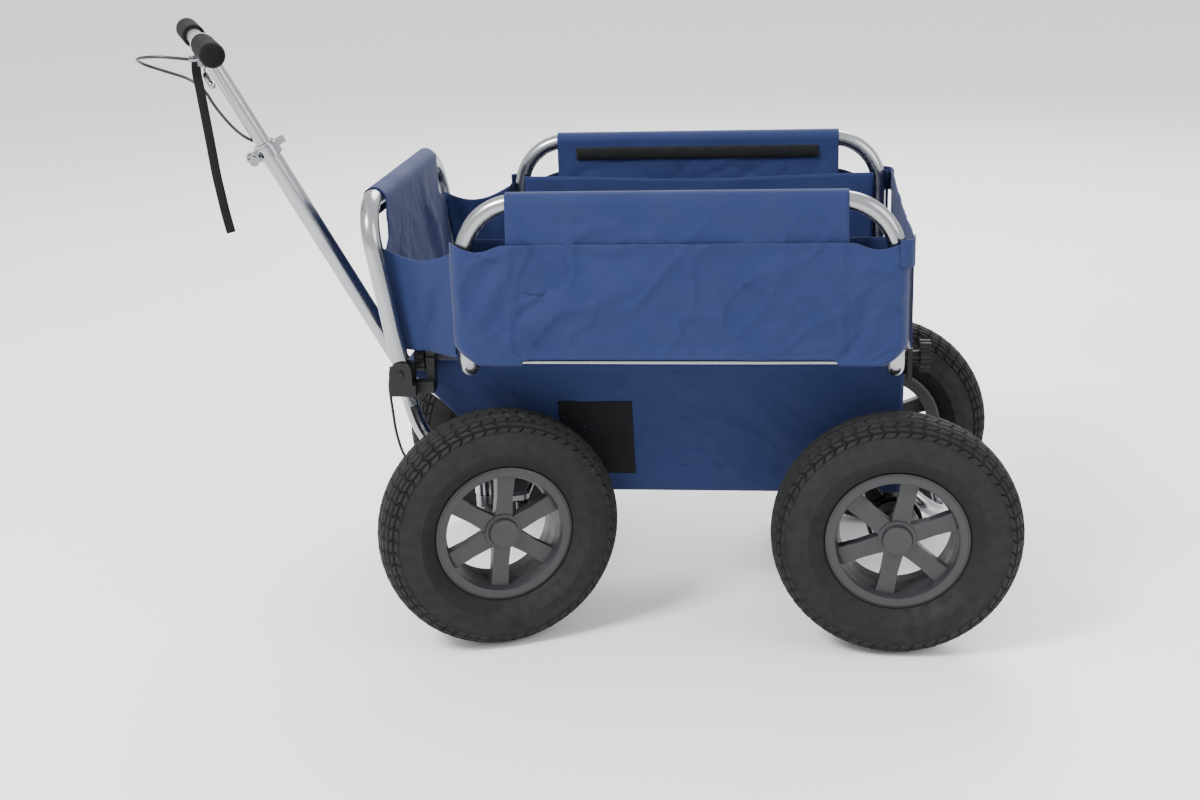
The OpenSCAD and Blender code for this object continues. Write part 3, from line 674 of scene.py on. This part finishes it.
@dataclass
class HandleSoftGoods:
    """Cables, wrist strap and foam grips of the handle."""

    cable_d: float = 4.0
    upper_route: list = field(default_factory=lambda: [
        (-0.390, -0.053, 0.768), (-0.404, -0.050, 0.770), (-0.424, -0.042, 0.772),
        (-0.442, -0.026, 0.771), (-0.450, -0.004, 0.767), (-0.444, 0.016, 0.760),
        (-0.428, 0.028, 0.752), (-0.408, 0.030, 0.744), (-0.390, 0.024, 0.737),
        (-0.376, 0.014, 0.728), (-0.368, 0.006, 0.718), (-0.362, 0.002, 0.706),
        (-0.352, 0.0, 0.690), (-0.340, 0.0, 0.674), (-0.328, 0.0, 0.662), (-0.316, 0.0, 0.654)])
    lower_route: list = field(default_factory=lambda: [
        (-0.157, 0.0, 0.330), (-0.158, 0.0, 0.318), (-0.160, 0.002, 0.302), (-0.159, 0.004, 0.282),
        (-0.157, 0.006, 0.260), (-0.155, 0.008, 0.238), (-0.151, 0.010, 0.216),
        (-0.145, 0.012, 0.196), (-0.134, 0.014, 0.178), (-0.118, 0.016, 0.164),
        (-0.098, 0.016, 0.156), (-0.076, 0.016, 0.153), (-0.058, 0.015, 0.156),
        (-0.046, 0.014, 0.162)])
    strap_route: list = field(default_factory=lambda: [
        (-0.375, -0.040, 0.771), (-0.380, -0.040, 0.764), (-0.381, -0.040, 0.750),
        (-0.379, -0.040, 0.730), (-0.377, -0.040, 0.708), (-0.375, -0.041, 0.686),
        (-0.373, -0.041, 0.664), (-0.371, -0.042, 0.640), (-0.369, -0.042, 0.618),
        (-0.366, -0.042, 0.596), (-0.363, -0.042, 0.574), (-0.360, -0.043, 0.556),
        (-0.358, -0.043, 0.545)])
    grip_r: float = 15.0
    grip_from: float = 76.0

    def cord(self, name: str, node: str, route: Sequence, wide: float, thick: float, finish: Finish,
             up: tuple[float, float, float],
             body: str | None) -> bpy.types.Object:
        """Args:
            name: the piece's name.
            node: the CAD node it stands for.
            route: its points in metres, in the handle's frame.
            wide: its width in mm.
            thick: its thickness in mm.
            finish: what it is made of.
            up: direction of its flat side.
            body: the body it rides on, or None to leave it unattached.
        Returns:
            The cord.
        """
        place = PLAN.steered()
        line = [place @ p for p in smooth_route(route, 5)]
        piece = tube(name, line, wide / 2 * MM, thick / 2 * MM, finish,
                     place.to_3x3() @ Vector(up), 14)
        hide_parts(node)
        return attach(piece, body) if body else piece

    def build(self) -> None:
        """Makes the cords first, then the grips."""
        self.cord("brake_cable_loop", "brake_cable_upper", self.upper_route, self.cable_d,
                  self.cable_d, JACKET, (0.1, 0.2, 1), "slider")
        self.cord("wrist_band", "wrist_strap", self.strap_route, 12.0, 2.4, WEBBING,
                  (0, 1, 0), "slider")
        lower = self.cord("brake_cable_tail", "brake_cable_lower", self.lower_route, self.cable_d,
                          self.cable_d, JACKET, (0.05, 1, 0.1), None)
        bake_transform(lower)
        r, a, b = self.grip_r, self.grip_from, PLAN.tee_half
        outline = [(10.05, a), (r - 2, a), (r - 0.5, a + 1), (r, a + 3)]
        outline += [(r - 0.5 * (k % 2), a + 8 + k * 5.0) for k in range(24)]
        outline += [(r, b - 4), (r - 0.8, b - 1), (r - 3, b + 2), (r - 8, b + 3.6), (0.01, b + 4)]
        for side in Side:
            turn = Matrix.Identity(4) if side is Side.NEAR else Matrix.Rotation(math.pi, 4, "X")
            grip = lathe(f"grip_{side.word}", outline, PLAN.cross_bar() @ turn, FOAM, 40, 60)
            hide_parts("grips")
            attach(grip, "slider")


@dataclass
class Wheels:
    """The four tyres with their moulded tread."""

    carcass: float = 59.0
    core_r: float = 98.0
    half_w: float = 45.0
    pitches: int = 56
    row_deg: float = 10.0
    tread_r: float = 137.0

    def section(self, angle: float) -> tuple[float, float]:
        """A point of the tyre's section at an angle from the crown.

        Args:
            angle: degrees from the crown.
        Returns:
            Radius and height in mm.
        """
        c, s = math.cos(math.radians(angle)), math.sin(math.radians(angle))
        wide = math.copysign(abs(s) ** 0.75, s) * self.half_w
        return self.core_r + self.carcass * max(c, 0.0) ** 0.8, wide

    def build(self, front: bool, side: Side) -> None:
        """Makes one tyre.

        Args:
            front: whether it is a front wheel.
            side: its side.
        """
        rows = [self.section(i * self.row_deg) for i in range(-8, 9)]
        outline = [(84.0, -20.0), (84.0, -26.0), (91.0, -27.5), (94.0, -33.0)] + rows
        outline += [(94.0, 33.0), (91.0, 27.5), (84.0, 26.0), (84.0, 20.0)]
        bm = bmesh.new()
        spin_outline(bm, outline, self.pitches, closed=True)
        ring_of = {round(z, 2): i for i, (r, z) in enumerate(rows)}
        half = math.pi / self.pitches
        for vert in bm.verts:
            ring = ring_of.get(round(vert.co.z / MM, 2))
            radius = math.hypot(vert.co.x, vert.co.y) / MM
            if ring is not None and ring % 2 and radius > self.tread_r - 3:
                vert.co.rotate(Matrix.Rotation(half, 3, "Z"))
        tread = [f for f in bm.faces
                 if math.hypot(*f.calc_center_median().xy) > self.tread_r * MM]
        bmesh.ops.inset_individual(bm, faces=tread, thickness=1.7 * MM, depth=2.6 * MM,
                                   use_even_offset=True)
        bmesh.ops.transform(bm, matrix=PLAN.wheel(front, side), verts=bm.verts)
        end = "front" if front else "rear"
        piece = finish_mesh(f"treaded_tyre_{end}_{side.word}", bm, RUBBER, 32.0)
        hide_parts(f"tyre_{end}_{side.word}")
        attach(piece, f"wheel_{end}_{side.word}")


@dataclass
class SideBag:
    """The cloth on one side hoop: sleeve panel, pocket, inner cloth and webbing."""

    side: Side
    x0: float = -284.0
    x1: float = 278.0
    sleeve_x0: float = -211.0
    sleeve_x1: float = 205.0
    low_z: float = 390.5
    pocket_z: float = 543.0
    rod_x0: float = -197.0
    rod_x1: float = 194.0
    folds: tuple = (Fold(120, 60, 38, 90, 16, 4.5), Fold(210, 90, 25, 110, 20, 3.5),
                    Fold(330, 50, 140, 80, 15, 3.5), Fold(60, 100, 60, 50, 11, 4.0),
                    Fold(470, 80, 118, 60, 14, 4.0), Fold(520, 50, 70, 50, 10, 3.5),
                    Fold(40, 40, 120, 40, 10, 3.5), Fold(400, 110, 12, 100, 18, 2.5))

    seams: tuple = (0.135, 0.86)
    seam_h: float = 1.3
    seam_w: float = 3.2
    flat_w: float = 562.0

    @property
    def body(self) -> str:
        """The body that the cloth rides on."""
        return f"hoop_{self.side.word}"

    def point(self, x: float, y: float, z: float) -> Vector:
        """A point given by its distance from the centre plane."""
        return Vector((x, self.side.value * y, z))

    def pocket(self, u: float, v: float) -> Vector:
        """The outer pocket, which narrows and turns in at its lower corners."""
        corner = max(0.0, 1 - v / 0.17) ** 2
        x = self.x0 + 26 * corner + (self.x1 - self.x0 - 26 * corner - 22 * corner) * u
        # between its two tunnels the hem stops short, so that the rod shows
        open_hem = min(1.0, max(0.0, min(x - self.rod_x0, self.rod_x1 - x) / 3))
        low = self.low_z + 7.5 * open_hem
        z = low + (self.pocket_z - low) * v
        edge = min(u, 1 - u) * (self.x1 - self.x0)
        turn_in = 17 * max(0.0, 1 - edge / 14) ** 2
        at_mouth = max(0.0, v - 0.86) / 0.14
        end = max(0.0, 1 - edge / 74)
        dip = 9 * at_mouth * math.sin(math.pi * min(edge / 74, 1)) ** 2
        bulge = 3.0 * math.sin(math.pi * u) * math.sin(math.pi * min(v * 1.1, 1))
        lift = slack(self.folds, u * (self.x1 - self.x0), v * 152, 2.6) * (1 - 0.6 * end * at_mouth)
        lift *= min(1.0, v * 8 + 0.15) * min(1.0, edge / 20 + 0.2)
        lift += sum(self.seam_h * math.exp(-((u - seam) * self.flat_w / self.seam_w) ** 2)
                    for seam in self.seams)
        over_rod = 3.5 * max(0.0, 1 - v / 0.1)
        y = 261.5 + bulge + max(lift, -2.0) + over_rod - turn_in - 2 * at_mouth * end
        return self.point(x, y, z - dip)

    def sleeve(self, u: float, v: float) -> Vector:
        """The panel that goes up outside, over the top bar and down inside."""
        r = PLAN.hoop_r + 1.4
        outer, over, inner = 112.0, math.pi * r, 200.0
        run = v * (outer + over + inner)
        x = self.sleeve_x0 + (self.sleeve_x1 - self.sleeve_x0) * u
        ripple = slack((), u * 416, v * 350, 1.8)
        if run < outer:
            share = 1 - run / outer
            return self.point(x, PLAN.hoop_y + r + 4.0 * math.sin(math.pi * share / 2)
                              + ripple * min(1, share * 4), PLAN.hoop_z - outer + run)
        if run < outer + over:
            angle = (run - outer) / r
            return self.point(x, PLAN.hoop_y + r * math.cos(angle), PLAN.hoop_z + r * math.sin(angle))
        drop = run - outer - over
        ripple *= min(1.0, drop / 40)
        return self.point(x, PLAN.hoop_y - r + 1.0 + ripple, PLAN.hoop_z - drop)

    def inner(self, u: float, v: float) -> Vector:
        """The wide inner cloth below the pocket's height."""
        z = self.low_z + 2 + 150 * v
        x = -262 + 518 * u
        lift = slack(self.folds, 518 * u, 150 * v, 1.0) * 0.45
        edge = min(u, 1 - u) * 518
        sag = 6 * max(0.0, v - 0.8) / 0.2 * math.sin(math.pi * u) ** 2
        return self.point(x, 226.5 - lift * min(1, edge / 40), z - sag)

    def tape(self, u: float, v: float) -> Vector:
        """The hook tape down the pocket's front edge, which takes the corner gusset."""
        wave = noise.noise(Vector((v * 6, 2.0, 4.0)))
        return self.point(-283.5 - wave, 243.5 - 16 * u, 399 + 132 * v)

    def cells(self, u: float, v: float) -> Vector:
        """The webbing ladder on the inside of the panel."""
        bow = 3.4 * abs(math.sin(math.pi * u * 9)) ** 0.35 * math.sin(math.pi * v) ** 0.4
        return self.point(-182 + 357 * u, PLAN.hoop_y - 14.6 - bow, 567 + 17 * v)

    def build(self) -> None:
        """Makes all the cloth of this side."""
        word = self.side.word
        pocket = cloth(f"side_pocket_{word}", 562, 152, self.pocket, self.body, cell=3.5)
        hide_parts(f"side_panel_{word}")
        cloth(f"side_sleeve_{word}", 416, 351, self.sleeve, self.body, cell=4.5)
        cloth(f"side_lining_{word}", 518, 150, self.inner, self.body, cell=6)
        cloth(f"side_webbing_{word}", 357, 17, self.cells, self.body, WEBBING, 2.5, 1.4)
        cloth(f"hook_tape_{word}", 16, 132, self.tape, self.body, WEBBING, 4, 1.0)
        out = self.point(0, 1, 0)
        stitches(f"pocket_hem_stitches_{word}", lambda t: self.pocket(0.02 + 0.96 * t, 0.93), 540, out,
                 self.body)
        stitches(f"pocket_base_stitches_{word}", lambda t: self.pocket(0.02 + 0.96 * t, 0.06), 540, out,
                 self.body)
        for number, share in enumerate(self.seams):
            stitches(f"pocket_seam_{number}_{word}",
                     lambda t, s=share: self.pocket(s, 0.06 + 0.86 * t), 130, out, self.body)
        stitches(f"sleeve_stitches_{word}", lambda t: self.sleeve(0.005 + 0.99 * t, 0.268), 412, out,
                 self.body)


@dataclass
class Tub:
    """The hanging tub with its skirts, floor, patches and rail sleeves."""

    back_x: float = 279.5
    inner_x: float = 247.5
    folds: tuple = (Fold(180, 120, 62, 90, 16, 3.0), Fold(300, 90, 100, 90, 18, 3.0),
                    Fold(420, 120, 120, 80, 14, 3.0), Fold(90, 60, 40, 60, 14, 2.6))

    def wall(self, side: Side, u: float, v: float) -> Vector:
        """A side wall, which sags inwards between its edges."""
        z = PLAN.hem_z + 1 + 198 * v
        front = PLAN.tub_x(z) if z > 190 else -226.0 + (190 - z) * 2.0
        x = front + (self.back_x - front) * u
        sag = 1.5 + 3.5 * math.sin(math.pi * u) * math.sin(math.pi * min(v * 1.05, 1))
        lift = slack(self.folds, 600 * u, 200 * v, 2.8) * math.sin(math.pi * u) ** 0.5
        inward = max(0.2, sag - 0.8 * lift * (1 if v > 0.1 else v * 10))
        return Vector((x, side.value * (PLAN.tub_y(z) - inward), z))

    def front(self, u: float, v: float) -> Vector:
        """The sloping front wall."""
        z = 190 + 178 * v
        half = PLAN.tub_y(z) - 2
        lift = slack((Fold(120, 80, 80, 70, 16, 3.0), Fold(230, 90, 100, 70, 16, 3.0)),
                     340 * u, 220 * v, 1.2)
        return Vector((PLAN.tub_x(z) + 3 + max(lift, -1) * math.sin(math.pi * u) + 2, half * (2 * u - 1), z))

    def back(self, u: float, v: float) -> Vector:
        """The outer rear wall, narrower above the rail brackets."""
        z = PLAN.hem_z + 1 + 229 * v
        blend = min(1.0, max(0.0, (z - 338) / 8))
        half = (PLAN.tub_y(min(z, 345)) - 1.5) * (1 - blend) + 137 * blend
        lift = slack((Fold(90, 90, 70, 70, 14, 1.5), Fold(250, 120, 110, 70, 14, 1.5)), 340 * u,
                     230 * v, 0.6)
        return Vector((self.back_x + max(-1.0, min(1.2, lift * math.sin(math.pi * u))),
                       half * (2 * u - 1), z))

    def inner_back(self, u: float, v: float) -> Vector:
        """The rear wall of the load space."""
        z = PLAN.floor_z + 3 + 150 * v
        lift = slack((), 320 * u, 150 * v, 1.0)
        return Vector((self.inner_x + min(1.0, lift), (PLAN.tub_y(z) - 4) * (2 * u - 1), z))

    def floor(self, u: float, v: float) -> Vector:
        """The cloth floor, on which the board lies."""
        half = PLAN.tub_y(PLAN.floor_z) - 3
        return Vector((-241 + 488 * u, half * (2 * v - 1), PLAN.floor_z + 1.6))

    def patch(self, side: Side, u: float, v: float) -> Vector:
        """The rub patch outside the wall, where a steered tyre may touch."""
        z = 200 + 110 * v
        front, x = PLAN.tub_x(z), -169 + 98 * u
        on_wall = self.wall(side, (x - front) / (self.back_x - front), (z - PLAN.hem_z - 1) / 198)
        return on_wall + Vector((0, side.value * 1.1, -0.3))

    def rail_sleeve(self, side: Side, u: float, v: float) -> Vector:
        """The hem that runs over the hinge rail."""
        r, flap = 7.2, 16.0
        run = v * (2 * flap + math.pi * r)
        x = -252 + 500 * u
        if run < flap:
            y, z = -r - 0.5, run - flap
        elif run < flap + math.pi * r:
            angle = math.pi - (run - flap) / r
            y, z = r * math.cos(angle), r * math.sin(angle)
        else:
            y, z = r, flap + math.pi * r - run
        wave = 0.7 * noise.noise(Vector((x / 30, v * 3, 1.0)))
        return Vector((x, side.value * (PLAN.rail_y + y + wave * (1 if abs(z) > 6 else 0)),
                       PLAN.rail_z + z))

    def build(self) -> None:
        """Makes the tub."""
        for side in Side:
            wall = cloth(f"tub_wall_{side.word}", 560, 205, lambda u, v, s=side: self.wall(s, u, v),
                         "frame", cell=4.5)
            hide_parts("tub")
            cloth(f"rub_patch_{side.word}", 98, 114, lambda u, v, s=side: self.patch(s, u, v), "frame",
                  PATCH, 6, 1.0)
            cloth(f"rail_sleeve_{side.word}", 500, 55, lambda u, v, s=side: self.rail_sleeve(s, u, v),
                  "frame", cell=5)
            out = Vector((0, side.value, 0))
            stitches(f"tub_hem_stitches_{side.word}",
                     lambda t, s=side: self.wall(s, 0.04 + 0.93 * t, 0.05), 450, out, "frame")
        cloth("tub_front", 300, 230, self.front, "frame", cell=5)
        cloth("tub_back", 300, 229, self.back, "frame")
        cloth("tub_inner_back", 290, 150, self.inner_back, "frame")
        cloth("tub_floor", 488, 254, self.floor, "frame", cell=12)


@dataclass
class EndPanels:
    """The front panel, the corner gussets and the rear flap; sizes in mm."""

    base_half: float = 148.0
    wing_half: float = 197.0
    top_half: float = 160.0
    middle: float = 100.0

    def front(self, u: float, v: float) -> Vector:
        """The front panel, from its base over the top bar and down the other side."""
        r, base, fall = 13.4, 14.0, 30.0
        up = PLAN.front_h - base
        run = v * (up + math.pi * r + fall)
        # narrow at the base, where it passes between the knobs as the hoop folds
        height = base + run
        widen = min(1.0, max(0.0, (height - 50) / 14)) * min(1.0, max(0.0, (166 - height) / 16))
        narrow = self.base_half if height < self.middle else self.top_half
        wide = narrow + (self.wing_half - narrow) * widen
        y = wide * (2 * u - 1)
        folds = (Fold(90, 60, 70, 80, 18, 5), Fold(300, 90, 110, 90, 20, 5),
                 Fold(200, 50, 20, 90, 16, 3))
        if run < up:
            share = run / up
            lift = slack(folds, 394 * u, run, 1.5) * math.sin(math.pi * share) ** 0.6
            return PLAN.on_front(2.5 + r * share ** 3 + max(lift, -3), y, base + run)
        if run < up + math.pi * r:
            angle = (run - up) / r
            return PLAN.on_front(r * math.cos(angle), y, PLAN.front_h + r * math.sin(angle))
        return PLAN.on_front(-r, y, PLAN.front_h - (run - up - math.pi * r))

    def gusset(self, side: Side, u: float, v: float) -> Vector:
        """A corner gusset, hung slack between the front hoop and the side panel."""
        low, high = PLAN.on_front(4, 199, 26), Vector((-281, 241, 393))
        top_front, top_back = PLAN.on_front(6, 197, 160), Vector((-281, 241, 530))
        a, b = low.lerp(top_front, v), high.lerp(top_back, v)
        point = a.lerp(b, u)
        sag = 16 * v ** 3 * math.sin(math.pi * u)
        hollow = 9 * math.sin(math.pi * u) * (0.4 + 0.6 * v)
        folds = (Fold(30, 70, 95, 60, 9, 5), Fold(60, 60, 70, 70, 10, 5))
        hollow += slack(folds, 90 * u, 140 * v, 1.5) * math.sin(math.pi * u)
        return Vector((point.x, side.value * (point.y - max(hollow, -1)), point.z - sag))

    def flap(self, u: float, v: float) -> Vector:
        """The rear flap."""
        z = 405.5 + 139 * v
        y = 238 * (2 * u - 1)
        sag = 7 * max(0.0, v - 0.8) / 0.2 * math.sin(math.pi * u) ** 2
        lift = slack((Fold(120, 70, 60, 80, 16, 2), Fold(330, 60, 120, 80, 16, 2)), 476 * u,
                     140 * v, 0.8)
        return Vector((283 + max(-1, lift * math.sin(math.pi * u)), y, z - sag))

    def tab(self, side: Side, u: float, v: float) -> Vector:
        """A hook-and-loop tab that lies round a rear leg's outer face."""
        run, r = 46 * u, 17.7
        if run < 18:
            x, y = 285.0 - 1.3 * run / 18, 227.5 + run
        else:
            angle = (run - 18) / r
            x, y = 266 + r * math.cos(angle), 245.5 + r * math.sin(angle)
        return Vector((x, side.value * y, 512 + 34 * v))

    def build(self) -> None:
        """Makes the panels."""
        panel = cloth("front_cloth", 380, 277, self.front, "hoop_front", cell=6)
        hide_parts("front_panel")
        for side in Side:
            gusset = cloth(f"corner_gusset_{side.word}", 92, 138,
                           lambda u, v, s=side: self.gusset(s, u, v), None, cell=5)
            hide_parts("corner_gussets")
            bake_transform(gusset)
            cloth(f"rear_tab_{side.word}", 46, 34, lambda u, v, s=side: self.tab(s, u, v),
                  "rear_flap", CANVAS, 4, 1.6)
        flap = cloth("rear_cloth", 476, 140, self.flap, "rear_flap")
        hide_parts("rear_panel")
        stitches("rear_hem_stitches", lambda t: self.flap(0.02 + 0.96 * t, 0.93), 456,
                 Vector((1, 0, 0)), "rear_flap")


@dataclass
class Metalwork:
    """Finishes of the CAD pieces that keep their own shape."""

    tubes: Iterable[str] = ("bed_frame", "front_beam", "rear_bow", "front_struts", "front_hoop",
                            "side_hoop_near", "side_hoop_far", "drawbar_tube", "slide_tube",
                            "tee_bar", "hem_rod_near", "hem_rod_far")
    zinc: Iterable[str] = ("king_pins", "rear_axle", "tilt_bolt", "knuckle_near", "knuckle_far",
                           "brake_cam_near", "brake_cam_far", "brake_drum_near", "brake_drum_far")
    bright: Iterable[str] = ("clamp_collar", "clamp_lever", "brake_perch", "brake_lever")
    black: Iterable[str] = ("upper_rails", "swivel_yoke", "tie_rod")

    def finish_of(self, node: str) -> Finish:
        """The finish that a CAD node gets.

        Args:
            node: the node's name.
        Returns:
            Its finish.
        """
        for names, finish in ((self.tubes, ALUMINIUM), (self.zinc, ZINC), (self.bright, CHROME),
                              (self.black, POWDER)):
            if node in names:
                return finish
        if node.startswith(("rim_", "hub_cap_")):
            return POLYPROPYLENE
        if node.startswith("tyre_"):
            return RUBBER
        if node.startswith("brake_cable"):
            return JACKET
        return BOARD_CLOTH if node == "floor_board" else NYLON

    def dress(self) -> None:
        """Gives every CAD node its finish."""
        for node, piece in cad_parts.items():
            finish = self.finish_of(node)
            piece.data.materials.clear()
            piece.data.materials.append(finish.material())
            LOG.info("%s: %s", node, finish.name)


def main() -> None:
    """Builds the cart's looks in order."""
    Studio().build()
    HandleSoftGoods().build()
    Metalwork().dress()
    wheels = Wheels()
    for side in Side:
        for front in (True, False):
            wheels.build(front, side)
        SideBag(side).build()
    Tub().build()
    EndPanels().build()


if __name__ == "__main__":
    logging.basicConfig(level=logging.INFO, format="%(name)s %(message)s")
    main()
